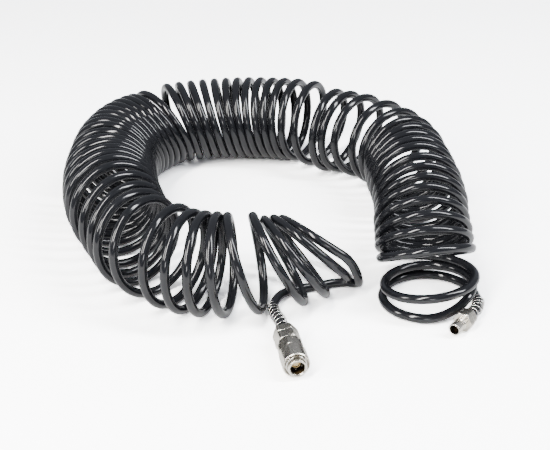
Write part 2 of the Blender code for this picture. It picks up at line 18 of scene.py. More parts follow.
import bpy
import numpy as np
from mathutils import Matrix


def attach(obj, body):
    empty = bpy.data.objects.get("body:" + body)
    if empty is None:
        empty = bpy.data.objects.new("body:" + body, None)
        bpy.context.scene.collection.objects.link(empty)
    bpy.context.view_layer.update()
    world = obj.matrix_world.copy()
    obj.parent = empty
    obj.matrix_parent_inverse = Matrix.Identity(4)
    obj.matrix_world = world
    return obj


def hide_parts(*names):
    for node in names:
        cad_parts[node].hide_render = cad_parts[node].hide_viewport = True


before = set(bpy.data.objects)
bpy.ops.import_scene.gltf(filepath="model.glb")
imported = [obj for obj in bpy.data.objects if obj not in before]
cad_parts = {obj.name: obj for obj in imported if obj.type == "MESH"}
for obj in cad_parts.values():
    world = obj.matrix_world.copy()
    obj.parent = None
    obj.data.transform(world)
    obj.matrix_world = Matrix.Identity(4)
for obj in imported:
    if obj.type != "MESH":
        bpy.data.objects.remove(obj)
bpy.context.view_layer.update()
MM = 0.001

# %% [markdown]
# ## Camera
#
# The focal length and the height come from the photograph's own perspective: how much smaller the far
# turns look than the near ones, and how flat the level loops look. The row frame is turned 10.5 degrees
# against the picture, because the socket's axis points that way. A lens in millimetres only means
# something beside the width of the sensor, so the focal length in pixels is scaled by the two widths.

# %% Camera
PHOTO_WIDTH = 550
FOCAL_PIXELS = 1315
SENSOR_WIDTH = 36.0
DOWN_TILT = 27.5
ROW_TURN = 10.5
CAMERA_PLACE = (-192.4 * MM, -1070.7 * MM, 580 * MM)

camera_data = bpy.data.cameras.new("camera")
camera_data.sensor_fit = "HORIZONTAL"
camera_data.sensor_width = SENSOR_WIDTH
camera_data.lens = FOCAL_PIXELS / PHOTO_WIDTH * SENSOR_WIDTH
camera = bpy.data.objects.new("camera", camera_data)
camera.location = CAMERA_PLACE
camera.rotation_euler = (math.radians(90 - DOWN_TILT), 0, math.radians(-ROW_TURN))
bpy.context.scene.collection.objects.link(camera)
bpy.context.scene.camera = camera
print("lens", round(camera_data.lens, 1), "mm")

# %% [markdown]
# ## The hose's route
#
# A coil is a circle that moves along an axis. Here each turn number has a station: where the turn's
# centre is over the floor, which way the coil's axis points there, and how far the turn is lifted. With
# top direction W and near side direction U the hose itself runs through
#
# $P(t) = C(t) + R\,(\cos 2\pi t\;W(t) - \sin 2\pi t\;U(t))$
#
# so a whole t is the top of a turn and the winding is right-handed. One could also bend a straight helix
# with a curve modifier, but stations let the fallen loops tip over one by one, as they do in the photo.
#
# A station is a row of seven numbers: the turn, the centre's x and y in mm, the azimuth and the elevation
# of the coil's axis in degrees, the lift over the floor in mm and how far the turn has opened. The leads
# carry the hose from the coil to the couplers. The socket's lead is in mm, and the plug's lead and its
# nut are given as degrees round the end loop and mm outside it.

# %% Sizes and stations
HOSE_OD = 8.0 * MM
COIL_OD = 86.0 * MM
FLOOR_GAP = 0.2
POINTS_PER_TURN = 24
PATH_STEP = 4.6 * MM
COIL_TURNS = (0.25, 63.2)
# Distances back from a coupler's front: END is where the CAD nut ends, NUT_END where the one made here does.
SOCKET_MOUTH = (-20.0 * MM, -237.5 * MM, 11.5 * MM)
SOCKET_TURNED = 0
SOCKET_END = 62.8 * MM
SOCKET_NUT_END = 57.0
PLUG_TURNED = 45.0
PLUG_END = 31.3 * MM
PLUG_NUT_END = 26.3
PLUG_HEIGHT = 8.0 * MM
END_LOOP_CENTRE = (114.0 * MM, -138.0 * MM)
PLUG_NUT_BACK = (-56.5, 8.3)
PLUG_LEAD = ((-36.7, 5.3, 7.3), (-24.8, 3.95, 6.5))

STATIONS = (
    (0.25, 115, -139, 80, 90, 0.2, 1.03),
    (0.75, 114, -138, 80, 90, 0.2, 1.0),
    (1.0, 113, -135.5, 80, 90, 0.8, 1.0),
    (1.1, 111, -135, 80, 90, 5, 1.0),
    (1.2, 110, -141, 80, 90, 12.8, 1.0),
    (1.3, 113, -142, 80, 90, 13.2, 1.0),
    (1.5, 114, -141, 80, 88, 11, 1.0),
    (2.0, 114, -141, 80, 80, 9.2, 1.0),
    (2.5, 113, -134.5, 80, 72, 18.5, 1.0),
    (3.0, 113, -128.5, 80, 60, 19, 1.0),
    (4.0, 116, -112.5, 80, 47, 13, 1.0),
    (5.0, 120, -97, 80, 37, 8, 1.0),
    (7.0, 129, -58, 80, 22, 0.2, 1.0),
    (8.0, 133, -45, 81, 17, 0.2, 1.0),
    (9.0, 136, -29, 82, 13, 0.2, 1.0),
    (10.0, 139, -12, 84, 10, 0.2, 1.0),
    (11.0, 141, 9, 87, 8, 0.2, 1.0),
    (12.0, 142, 22, 90, 6, 0.2, 1.0),
    (13.0, 142.5, 34, 94, 4, 0.2, 1.0),
    (15.0, 144.5, 64, 104, 1, 0.2, 1.0),
    (17.0, 131, 105, 117, 1, 0.2, 1.0),
    (18.0, 115, 125, 121, 2, 0.2, 1.0),
    (19.0, 101, 135, 130, 2, 0.2, 1.0),
    (20.0, 89, 142, 136, 2, 0.2, 1.0),
    (21.0, 73, 166, 138, 0, 0.2, 1.0),
    (22.0, 60, 174, 143, -4, 0.2, 1.0),
    (24.0, 39, 182, 152, -8, 0.2, 1.0),
    (26.0, 18, 188, 160, -10, 0.2, 1.0),
    (28.0, -2.5, 192, 168, -12, 0.2, 1.0),
    (30.0, -24, 194, 175, -14, 0.2, 1.0),
    (32.0, -46, 194.4, 182, -16, 0.2, 1.0),
    (33.0, -57, 194.1, 186, -17, 0.2, 1.0),
    (34.0, -76, 186, 203, -22, 0.2, 1.02),
    (36.0, -95, 171, 211, -20, 0.2, 1.04),
    (38.0, -111, 153, 219, -17, 0.2, 1.05),
    (41.0, -128, 121, 232, -12, 0.2, 1.05),
    (43.0, -134, 100, 240, -8, 0.2, 1.05),
    (44.0, -137, 83, 246, -6, 0.2, 1.05),
    (47.0, -141.6, 44, 266, -3, 0.2, 1.05),
    (50.0, -140, 1, 284, 0, 0.2, 1.05),
    (52.0, -132, -40, 298, 0, 0.2, 1.02),
    (53.0, -129, -56, 300, 0, 0.2, 1.02),
    (54.0, -122, -73, 306, 0, 0.2, 1.03),
    (55.0, -104, -97, 315, -2, 0.2, 1.05),
    (56.0, -92, -110, 324, -2, 0.2, 1.05),
    (57.0, -80, -117, 332, -1, 0.2, 1.05),
    (58.0, -67, -122, 340, 1, 0.2, 1.05),
    (59.0, -50, -123, 350, 9, 0.2, 1.04),
    (60.0, -20, -118, 358, 18, 0.2, 1.02),
    (60.3, -12, -116, 362, 23, 0.2, 1.02),
    (61.3, 3.5, -109.5, 370, 31, 0.2, 1.02),
    (62.3, 22, -89.5, 381, 40, 0.2, 1.02),
    (63.3, 35, -85, 388, 46, 0.2, 1.07),
)
SOCKET_LEAD = (
    (58, -116, 13),
    (59, -109, 7),
    (51, -101.5, 4.2),
    (40, -100.5, 4.2),
    (25, -103, 4.2),
    (6, -105.5, 4.5),
    (-8, -112, 5.2),
    (-16, -123, 6),
    (-20.8, -138, 7.2),
    (-21.4, -151, 9.2),
)
print("stations", len(STATIONS), "for turns", COIL_TURNS)

# %% [markdown]
# A cubic between the stations keeps the hose free of kinks: it passes through every station, and its
# slope there comes from the stations on both sides. The same cubic then respaces the whole path evenly,
# because a tube drawn over uneven points would show facets where they are far apart.


# %% Route
def smooth(at, knots, values):
    """A cubic through the values at the knots, each slope taken from the neighbours."""
    slope = np.gradient(values, knots, axis=0)
    i = np.clip(np.searchsorted(knots, at, side="right") - 1, 0, len(knots) - 2)
    width = (knots[i + 1] - knots[i])[:, None]
    s = ((at - knots[i]) / (knots[i + 1] - knots[i]))[:, None]
    return (
        (2 * s**3 - 3 * s**2 + 1) * values[i]
        + (s**3 - 2 * s**2 + s) * width * slope[i]
        + (3 * s**2 - 2 * s**3) * values[i + 1]
        + (s**3 - s**2) * width * slope[i + 1]
    )


def coil_points(start, end, per_turn):
    """Points along the hose between two turn numbers."""
    turns = np.linspace(start, end, int(np.ceil((end - start) * per_turn)) + 1)
    table = np.array(STATIONS, float)
    x, y, azimuth, elevation, lift, opened = smooth(turns, table[:, 0], table[:, 1:]).T
    azimuth, elevation = np.radians(azimuth), np.radians(elevation)
    radius = opened * (COIL_OD - HOSE_OD) / 2
    height = HOSE_OD / 2 + radius * np.cos(elevation) + np.maximum(lift, FLOOR_GAP) * MM
    centre = np.stack([x * MM, y * MM, height], 1)
    side = np.stack([-np.sin(azimuth), np.cos(azimuth), 0 * azimuth], 1)
    top = np.stack(
        [-np.cos(azimuth) * np.sin(elevation), -np.sin(azimuth) * np.sin(elevation), np.cos(elevation)], 1
    )
    angle = 2 * np.pi * turns[:, None]
    return centre + radius[:, None] * (np.cos(angle) * top - np.sin(angle) * side)


def lengths_along(points):
    """The length of the way to each point, from 0 at the first."""
    return np.r_[0, np.cumsum(np.linalg.norm(np.diff(points, axis=0), axis=1))]


def through(points, step):
    """Evenly spaced points on a smooth curve through the given ones."""
    points = np.array(points, float)
    along = lengths_along(points)
    return smooth(np.linspace(0, along[-1], int(along[-1] / step) + 2), along, points)


def back_of(front, turned, distance):
    """The point on a coupler's axis at a distance back from its front face."""
    angle = math.radians(turned)
    return np.array([front[0] + distance * math.sin(angle), front[1] + distance * math.cos(angle), front[2]])


def round_end_loop(degrees, outside, height):
    """A point about the end loop's centre, so many mm outside the coil's centreline."""
    reach = (COIL_OD - HOSE_OD) / 2 + outside * MM
    angle = math.radians(degrees)
    return np.array(
        [END_LOOP_CENTRE[0] + reach * math.cos(angle), END_LOOP_CENTRE[1] + reach * math.sin(angle), height]
    )


socket_nut_back = back_of(SOCKET_MOUTH, SOCKET_TURNED, SOCKET_END)
plug_nut_back = round_end_loop(*PLUG_NUT_BACK, PLUG_HEIGHT)
PLUG_NOSE = back_of(plug_nut_back, PLUG_TURNED, -PLUG_END)
controls = np.vstack(
    [
        back_of(PLUG_NOSE, PLUG_TURNED, PLUG_NUT_END * MM),
        plug_nut_back,
        back_of(PLUG_NOSE, PLUG_TURNED, PLUG_END + HOSE_OD),
        [round_end_loop(degrees, outside, height * MM) for degrees, outside, height in PLUG_LEAD],
        coil_points(*COIL_TURNS, POINTS_PER_TURN),
        MM * np.array(SOCKET_LEAD),
        back_of(SOCKET_MOUTH, SOCKET_TURNED, SOCKET_END + HOSE_OD),
        socket_nut_back,
        back_of(SOCKET_MOUTH, SOCKET_TURNED, SOCKET_NUT_END * MM),
    ]
)
hose_path = through(controls, PATH_STEP)[::-1]

# %% [markdown]
# ## Surfaces from grids
#
# Every new piece is a grid of points: rows along it and columns round it, joined into quads. A tube
# carries its ring of points along a path without twisting it, a turned piece carries its outline round
# an axis. Both get a UV map in metres or turns, so that a material can draw lines along or round them.
# Blender's own curve bevels and Screw modifier would do too, but their UVs say nothing about length.
# Edges where two faces meet at more than SHARP_ANGLE are drawn sharp, and all others smooth.


# %% Grid helpers
SHARP_ANGLE = 40


def grid_object(name, points, uv, loop_rows, loop_columns, material, caps=False):
    """A mesh from points[row, column] and uv[row, column], wrapped where asked."""
    rows, columns = points.shape[:2]
    r = np.arange(rows if loop_rows else rows - 1)
    c = np.arange(columns if loop_columns else columns - 1)
    r, c = (a.ravel() for a in np.meshgrid(r, c, indexing="ij"))
    r2, c2 = (r + 1) % rows, (c + 1) % columns
    faces = np.stack([r * columns + c, r2 * columns + c, r2 * columns + c2, r * columns + c2], 1)
    corners = np.stack([uv[r, c], uv[r2, c], uv[r2, c2], uv[r, c2]], 1)
    wrapped = (c + 1 == columns)[:, None] & np.array([False, False, True, True])
    corners[..., 0] = np.where(wrapped, uv[0, -1, 0] + uv[0, 1, 0] - uv[0, 0, 0], corners[..., 0])
    polygons = faces.tolist()
    corners = corners.reshape(-1, 2)
    if caps:
        polygons.append(list(range(columns)))
        polygons.append(list(range((rows - 1) * columns, rows * columns))[::-1])
        corners = np.vstack([corners, uv[0], uv[-1][::-1]])
    mesh = bpy.data.meshes.new(name)
    mesh.from_pydata(points.reshape(-1, 3).tolist(), [], polygons)
    mesh.uv_layers.new(name="lengthwise").data.foreach_set("uv", corners.astype(np.float32).ravel())
    mesh.materials.append(material)
    mesh.shade_smooth()
    mesh.set_sharp_from_angle(angle=math.radians(SHARP_ANGLE))
    made = bpy.data.objects.new(name, mesh)
    bpy.context.scene.collection.objects.link(made)
    return made


def carried_frames(path):
    """Two directions across the path at each point, carried along it without twist."""
    ahead = np.gradient(path, axis=0)
    ahead /= np.linalg.norm(ahead, axis=1)[:, None]
    across = np.empty_like(path)
    across[0] = np.cross(ahead[0], (0, 0, 1))
    for i in range(len(path)):
        last = across[max(i - 1, 0)]
        flat = last - ahead[i] * np.dot(last, ahead[i])
        across[i] = flat / np.linalg.norm(flat)
    return across, np.cross(ahead, across)


def tube_object(name, path, radius, sides, material):
    """A round tube along a path, with flat ends. UV is (turns round it, metres along it)."""
    across, above = carried_frames(path)
    angle = np.linspace(0, 2 * np.pi, sides, endpoint=False)[None, :, None]
    points = path[:, None] + radius * (np.cos(angle) * across[:, None] + np.sin(angle) * above[:, None])
    uv = np.empty((len(path), sides, 2))
    uv[..., 0] = angle[..., 0] / (2 * np.pi)
    uv[..., 1] = lengths_along(path)[:, None]
    return grid_object(name, points, uv, False, True, material, caps=True)


print("edges over", SHARP_ANGLE, "degrees are sharp")

# %% [markdown]
# ## Materials
#
# Polyurethane tube is glossy, with faint lines along it from the die that it was drawn through and a
# slight unevenness that breaks up its reflections. Nickel plate on turned brass shows fine rings round
# the axis, a warm tint and uneven shine. Inside a bore a dull brown is mixed into its colour as painted
# shade.
#
# Each effect is a node group that gives only a mask or a height, so that several materials can share it.
# The shaders stay in the materials.


# %% Node groups
def new_group(name, inputs, outputs):
    """An empty node group with float sockets."""
    group = bpy.data.node_groups.new(name, "ShaderNodeTree")
    for label, value in inputs:
        socket = group.interface.new_socket(label, in_out="INPUT", socket_type="NodeSocketFloat")
        socket.default_value = value
    for label in outputs:
        group.interface.new_socket(label, in_out="OUTPUT", socket_type="NodeSocketFloat")
    return group, group.nodes.new("NodeGroupInput"), group.nodes.new("NodeGroupOutput")


def maths(tree, operation, first, second):
    """One Math node. Each input is a number or another node's output."""
    node = tree.nodes.new("ShaderNodeMath")
    node.operation = operation
    for socket, value in zip(node.inputs, (first, second)):
        if isinstance(value, (int, float)):
            socket.default_value = value
        else:
            tree.links.new(value, socket)
    return node.outputs[0]


def noise(tree, vector, scale, detail=3.0, roughness=0.5):
    """A noise from 0 to 1, mostly near 0.5."""
    node = tree.nodes.new("ShaderNodeTexNoise")
    node.inputs["Detail"].default_value = detail
    node.inputs["Roughness"].default_value = roughness
    if isinstance(scale, (int, float)):
        node.inputs["Scale"].default_value = scale
    else:
        tree.links.new(scale, node.inputs["Scale"])
    tree.links.new(vector, node.inputs["Vector"])
    return node.outputs["Fac"]


def lines_group():
    """Fine lines along one UV direction: round a turned piece or along a drawn one."""
    group, given, out = new_group("fine_lines", (("Across", 1.0), ("Along", 1.0)), ("Height",))
    uv = group.nodes.new("ShaderNodeUVMap").outputs["UV"]
    split = group.nodes.new("ShaderNodeSeparateXYZ")
    join = group.nodes.new("ShaderNodeCombineXYZ")
    group.links.new(uv, split.inputs[0])
    group.links.new(maths(group, "MULTIPLY", split.outputs["X"], given.outputs["Across"]), join.inputs["X"])
    group.links.new(maths(group, "MULTIPLY", split.outputs["Y"], given.outputs["Along"]), join.inputs["Y"])
    group.links.new(noise(group, join.outputs[0], 1.0, 4.0, 0.65), out.inputs["Height"])
    return group


def patches_group():
    """Soft uneven patches in object space, for handling marks and slight waves."""
    group, given, out = new_group("soft_patches", (("Scale", 40.0), ("Contrast", 2.0)), ("Mask",))
    place = group.nodes.new("ShaderNodeTexCoord").outputs["Object"]
    level = noise(group, place, given.outputs["Scale"], 4.0, 0.55)
    centred = maths(group, "SUBTRACT", level, 0.5)
    contrasted = maths(group, "MULTIPLY", centred, given.outputs["Contrast"])
    group.links.new(maths(group, "ADD", contrasted, 0.5), out.inputs["Mask"])
    return group


def bore_shade_group():
    """Painted shade: a mask where the bore attribute says that the surface faces into a bore, made uneven by
    a noise.
    """
    group, given, out = new_group("bore_painted_shade", (("Scale", 300.0), ("Strength", 1.0)), ("Mask",))
    inside = group.nodes.new("ShaderNodeAttribute")
    inside.attribute_name = "bore"
    place = group.nodes.new("ShaderNodeTexCoord").outputs["Object"]
    speckle = noise(group, place, given.outputs["Scale"])
    uneven = maths(group, "ADD", maths(group, "MULTIPLY", speckle, 0.5), 0.65)
    level = maths(group, "MULTIPLY", inside.outputs["Fac"], given.outputs["Strength"])
    mask = maths(group, "MINIMUM", maths(group, "MULTIPLY", level, uneven), 1.0)
    group.links.new(mask, out.inputs["Mask"])
    return group


FINE_LINES = lines_group()
SOFT_PATCHES = patches_group()
# The bore mask paints shade into metal that faces into a bore.
BORE_SHADE = bore_shade_group()
print("node groups", [group.name for group in bpy.data.node_groups])

# %% [markdown]
# A material mixes its colour and its roughness by the patches' mask, and bends its normal by the lines'
# height. Roughness from 0.1 to 0.2 gives narrow bright streaks, and 0.5 and more a soft sheen.


# %% Materials
def use(tree, group, **values):
    """The output of a group node with these input values."""
    node = tree.nodes.new("ShaderNodeGroup")
    node.node_tree = group
    for label, value in values.items():
        node.inputs[label].default_value = value
    return node.outputs[0]


def ramp(tree, fac, low, high):
    """fac mapped from 0..1 to low..high."""
    node = tree.nodes.new("ShaderNodeMapRange")
    node.inputs["To Min"].default_value = low
    node.inputs["To Max"].default_value = high
    tree.links.new(fac, node.inputs["Value"])
    return node.outputs["Result"]


def mix_colour(tree, fac, one, two):
    """One colour where fac is 0 and the other where it is 1. Either may come from another node."""
    node = tree.nodes.new("ShaderNodeMix")
    node.data_type = "RGBA"
    for socket, colour in ((node.inputs["A"], one), (node.inputs["B"], two)):
        if isinstance(colour, tuple):
            socket.default_value = (*colour, 1)
        else:
            tree.links.new(colour, socket)
    tree.links.new(fac, node.inputs["Factor"])
    return node.outputs["Result"]


def bump(tree, height, strength, distance, normal=None):
    """The normal bent by a height, on top of another normal if one is given."""
    node = tree.nodes.new("ShaderNodeBump")
    node.inputs["Strength"].default_value = strength
    node.inputs["Distance"].default_value = distance
    tree.links.new(height, node.inputs["Height"])
    if normal is not None:
        tree.links.new(normal, node.inputs["Normal"])
    return node.outputs["Normal"]


def start_material(name):
    """A new material, its node tree and its Principled shader's inputs."""
    made = bpy.data.materials.new(name)
    made.use_nodes = True
    tree = made.node_tree
    return made, tree, tree.nodes["Principled BSDF"].inputs


def hose_material():
    """Glossy black polyurethane with faint draw lines."""
    made, tree, shader = start_material("gloss_polyurethane")
    lines = use(tree, FINE_LINES, Across=60.0, Along=3.0)
    patches = use(tree, SOFT_PATCHES, Scale=30.0, Contrast=1.6)
    black = mix_colour(tree, patches, (0.006, 0.0065, 0.008), (0.010, 0.0105, 0.013))
    tree.links.new(black, shader["Base Color"])
    tree.links.new(ramp(tree, patches, 0.09, 0.17), shader["Roughness"])
    waves = bump(tree, patches, 0.03, 0.3 * MM)
    tree.links.new(bump(tree, lines, 0.04, 0.02 * MM, waves), shader["Normal"])
    shader["IOR"].default_value = 1.5
    shader["Specular IOR Level"].default_value = 0.5
    shader["Coat Weight"].default_value = 0.2
    shader["Coat Roughness"].default_value = 0.05
    return made


# A dull brown, mixed in as painted shade where metal faces into a bore.
BORE_SHADE_BROWN = (0.19, 0.155, 0.11)


def metal_material(name, dull, bright, low, high, across=4.0, along=9000.0):
    """Turned metal: rings round the axis, uneven shine from low to high roughness, a painted brown shade in
    its bore.
    """
    made, tree, shader = start_material(name)
    lines = use(tree, FINE_LINES, Across=across, Along=along)
    patches = use(tree, SOFT_PATCHES, Scale=150.0, Contrast=1.3)
    # Painted shade: the bore mask mixes a dull brown into the colour inside a bore.
    bore_shade = use(tree, BORE_SHADE, Scale=400.0, Strength=1.0)
    plated = mix_colour(tree, patches, dull, bright)
    tree.links.new(mix_colour(tree, bore_shade, plated, BORE_SHADE_BROWN), shader["Base Color"])
    tree.links.new(ramp(tree, patches, low, high), shader["Roughness"])
    tree.links.new(bump(tree, lines, 0.10, 0.02 * MM), shader["Normal"])
    shader["Metallic"].default_value = 1.0
    shader["Anisotropic"].default_value = 0.3
    return made


def rubber_material():
    """Matt black rubber."""
    made, tree, shader = start_material("seal_rubber")
    patches = use(tree, SOFT_PATCHES, Scale=300.0, Contrast=2.0)
    black = mix_colour(tree, patches, (0.012, 0.012, 0.012), (0.03, 0.03, 0.03))
    tree.links.new(black, shader["Base Color"])
    tree.links.new(ramp(tree, patches, 0.45, 0.65), shader["Roughness"])
    return made


HOSE = hose_material()
NICKEL = metal_material("nickel_plate", (0.78, 0.73, 0.64), (0.90, 0.86, 0.77), 0.22, 0.30)
WIRE = metal_material("spring_wire", (0.80, 0.77, 0.73), (0.92, 0.90, 0.86), 0.16, 0.24, 30.0, 60.0)
BRASS = metal_material("turned_brass", (0.62, 0.47, 0.24), (0.80, 0.66, 0.40), 0.18, 0.30)
RUBBER = rubber_material()
print("materials", len(bpy.data.materials))

# %% [markdown]
# ## The hose
#
# One tube from end to end, in place of the four CAD solids. Twenty sides look round at this size.

# %% Hose
HOSE_SIDES = 20
hose = tube_object("air_hose", hose_path, HOSE_OD / 2, HOSE_SIDES, HOSE)
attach(hose, "hose")
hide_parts("hose_coil", "hose_end_loops", "hose_open_turns", "hose_fallen_loops")
print("hose faces", len(hose.data.polygons))

# %% [markdown]
# ## Wire guards
#
# A guard is a spring of hard wire slipped over the hose end, so that the hose can't kink at the nut. It
# follows the hose's own path: a helix laid round that path instead of round a straight line. Its turns
# stand well apart, so that the black hose shows between them. Each guard starts a little way back from
# the hose's end, which is inside the nut.


# %% Guards
def helix_round(path, start, pitch, turns, radius, per_turn):
    """Points of a spring wound round a path."""
    along = lengths_along(path)
    at = np.linspace(start, start + pitch * turns, turns * per_turn + 1)
    spot = smooth(at, along, path)
    ahead = np.gradient(spot, axis=0)
    ahead /= np.linalg.norm(ahead, axis=1)[:, None]
    across = np.cross(ahead, (0, 0, 1))
    across /= np.linalg.norm(across, axis=1)[:, None]
    above = np.cross(across, ahead)
    angle = 2 * np.pi * ((at - start) / pitch)[:, None]
    return spot + radius * (np.cos(angle) * above + np.sin(angle) * across)


GUARD_WIRE = 1.0 * MM
GUARD_SIDES = 10
GUARD_POINTS_PER_TURN = 36
GUARD_START = GUARD_WIRE / 2 + 0.3 * MM
GUARD_RADIUS = HOSE_OD / 2 + 0.4 * MM + GUARD_WIRE / 2
PATH_POINTS_NEAR_END = 80
for name, node, path, length, turns in (
    ("socket_guard_wire", "socket_spring_guard", hose_path, 46.0 * MM, 8),
    ("plug_guard_wire", "plug_spring_guard", hose_path[::-1], 31.0 * MM, 6),
):
    near_end = path[:PATH_POINTS_NEAR_END]
    wire = helix_round(near_end, GUARD_START, length / turns, turns, GUARD_RADIUS, GUARD_POINTS_PER_TURN)
    guard = tube_object(name, wire, GUARD_WIRE / 2, GUARD_SIDES, WIRE)
    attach(guard, "hose")
    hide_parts(node)
    print(name, len(guard.data.polygons))

# %% [markdown]
# ## Turned and hexagonal pieces
#
# A turned piece is an outline of (distance back, radius) points carried round the axis. Real edges are
# never sharp, so each corner of the outline is first cut by a small arc. A hexagon is the same surface
# with its radius held back to six flats. With $n_i$ the flats' directions,
#
# $r(\theta) = \frac{w}{2}\,\left(\sum_i \max(0, \cos(\theta - n_i))^p\right)^{-1/p}$
#
# has corners that get sharper with p. A Boolean with a prism gives the same shape with hard edges. The
# smaller of the outline's radius a and the hexagon's r then holds, blended so that the edge between them
# is soft:
#
# $(a^{-q} + r^{-q})^{-1/q}$
#
# A piece can be hexagonal over a part of its length alone, its span. Where the outline runs back towards
# the front, the surface faces into a bore, and an attribute called bore marks it for a painted shade.


# %% Turned helpers
ROUND_SIDES = 96
HEX_SIDES = 192
HEX_SHARPNESS = 70
HEX_BLEND = 40.0
HEX_LEAST_SHARE = 0.8
HEX_LONGEST_STEP = 0.4
LEAST_RADIUS = 0.02
# The depth in mm at which the painted shade in a bore reaches full strength.
BORE_SHADE_DEPTH = 1.5


def rounded(outline, fillet, steps=4, closed=True):
    """The outline with each corner replaced by a short arc-like curve."""
    dots = np.array(outline, float)
    count = len(dots)
    result = []
    for i in range(count):
        here = dots[i]
        if not closed and i in (0, count - 1):
            result.append(here)
            continue
        one, two = dots[i - 1] - here, dots[(i + 1) % count] - here
        reach = min(fillet, 0.45 * np.linalg.norm(one), 0.45 * np.linalg.norm(two))
        first = here + one / np.linalg.norm(one) * reach
        last = here + two / np.linalg.norm(two) * reach
        for s in np.linspace(0, 1, steps + 1):
            result.append((1 - s) ** 2 * first + 2 * s * (1 - s) * here + s**2 * last)
    return np.array(result)


def densified(outline, longest, closed=True):
    """Extra points on the outline's long sides."""
    result = []
    count = len(outline)
    for i in range(count if closed else count - 1):
        one, two = outline[i], outline[(i + 1) % count]
        pieces = max(1, int(np.ceil(np.linalg.norm(two - one) / longest)))
        result += [one + (two - one) * k / pieces for k in range(pieces)]
    if not closed:
        result.append(outline[-1])
    return np.array(result)


def hex_limit(angle, flats, turned):
    """The radius of a hexagon with slightly rounded corners at each angle."""
    total = 0
    for k in range(6):
        total = total + np.maximum(0, np.cos(angle - turned - k * np.pi / 3)) ** HEX_SHARPNESS
    return flats / 2 * total ** (-1 / HEX_SHARPNESS)


def turned_object(
    name,
    outline,
    axis,
    material,
    flats=None,
    hex_turn=0.0,
    span=(-math.inf, math.inf),
    fillet=0.15,
    closed=True,
):
    """
    A turned piece on a coupler's axis, which is its front point and the degrees that it is turned.

    Outline, flats, span and fillet are in mm. Lengths along the axis count back from the front point.
    """
    front, turned = axis
    sides = HEX_SIDES if flats else ROUND_SIDES
    shape = rounded(outline, fillet, closed=closed)
    if flats:
        shape = densified(shape, HEX_LONGEST_STEP, closed)
    back, radius = shape[:, 0] * MM, np.maximum(shape[:, 1], LEAST_RADIUS) * MM
    theta = np.linspace(0, 2 * np.pi, sides, endpoint=False)
    reach = np.repeat(radius[:, None], sides, 1)
    if flats:
        limit = hex_limit(theta, flats * MM, math.radians(hex_turn))
        reach = (reach**-HEX_BLEND + limit[None] ** -HEX_BLEND) ** (-1 / HEX_BLEND)
        stays_round = radius < HEX_LEAST_SHARE * flats / 2 * MM
        stays_round |= (shape[:, 0] < span[0]) | (shape[:, 0] > span[1])
        reach = np.where(stays_round[:, None], radius[:, None], reach)
    angle = math.radians(turned)
    ahead = np.array([math.sin(angle), math.cos(angle), 0])
    across = np.array([math.cos(angle), -math.sin(angle), 0])
    above = np.array([0, 0, 1.0])
    ring = np.cos(theta)[:, None] * above + np.sin(theta)[:, None] * across
    points = np.array(front) + back[:, None, None] * ahead + reach[..., None] * ring[None]
    uv = np.empty((len(shape), sides, 2))
    uv[..., 0] = theta / (2 * np.pi)
    uv[..., 1] = lengths_along(np.stack([back, radius], 1))[:, None]
    made = grid_object(name, points, uv, closed, True, material)
    # The bore attribute says where the painted shade goes: on faces into a bore, at full strength from a
    # little way in.
    faces_inwards = closed & (np.roll(back, 1) - np.roll(back, -1) > 0.01 * MM)
    depth = np.clip((back - back.min()) / (BORE_SHADE_DEPTH * MM), 0, 1) * faces_inwards
    bore = made.data.attributes.new("bore", "FLOAT", "POINT")
    bore.data.foreach_set("value", np.repeat(depth, sides).astype(np.float32))
    weigh = made.modifiers.new("WeightedNormal", "WEIGHTED_NORMAL")
    weigh.keep_sharp = True
    return made


def dress(made, body, slot, *nodes):
    """Puts a piece on its body and in place of its CAD solids. The slot argument is not used."""
    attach(made, body)
    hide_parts(*nodes)
    print(made.name, len(made.data.polygons))


print("a 19 mm hexagon reaches", round(float(hex_limit(math.pi / 6, 19.0, 0.0)), 2), "mm at its corners")

# %% [markdown]
# ## Socket
#
# From the mouth back: the nose with its bore, the stop ring, the release sleeve, the body's collar, the
# hex adapter and the hose nut. The brass valve shows deep in the bore.
#
# The photograph's metal is a little shorter and slimmer than the CAD's, so these outlines stay inside the
# solids. The collar, the adapter and the back of the sleeve are hexagonal, each turned as the photograph
# shows its flats.

# %% Body and sleeve
SOCKET_AXIS = (SOCKET_MOUTH, SOCKET_TURNED)
NOSE, BORE, CAVITY, FLANGE = 7.8, 5.6, 10.0, 10.8
SLEEVE = 11.0
SOCKET_FLATS = 19.0
SLEEVE_FLATS = 20.3
HEX_TURN = -12
body_outline = (
    (0, BORE + 0.8),
    (0, NOSE - 0.4),
    (0.4, NOSE),
    (4.7, NOSE),
    (4.7, NOSE - 0.7),
    (6.5, NOSE - 0.7),
    (6.5, NOSE),
    (30, NOSE),
    (30, CAVITY - 0.3),
    (34.5, CAVITY - 0.3),
    (34.5, FLANGE - 0.8),
    (35.2, FLANGE),
    (44.2, FLANGE),
    (44.7, FLANGE - 0.5),
    (44.7, 6.1),
    (39.4, 6.1),
    (39.4, 2.6),
    (26, 2.6),
    (26, BORE),
    (0.8, BORE),
)
socket_body = turned_object(
    "socket_body_turned", body_outline, SOCKET_AXIS, NICKEL, SOCKET_FLATS, HEX_TURN, (34.5, 44.7)
)
dress(socket_body, "hose", "nickel_body", "socket_body")

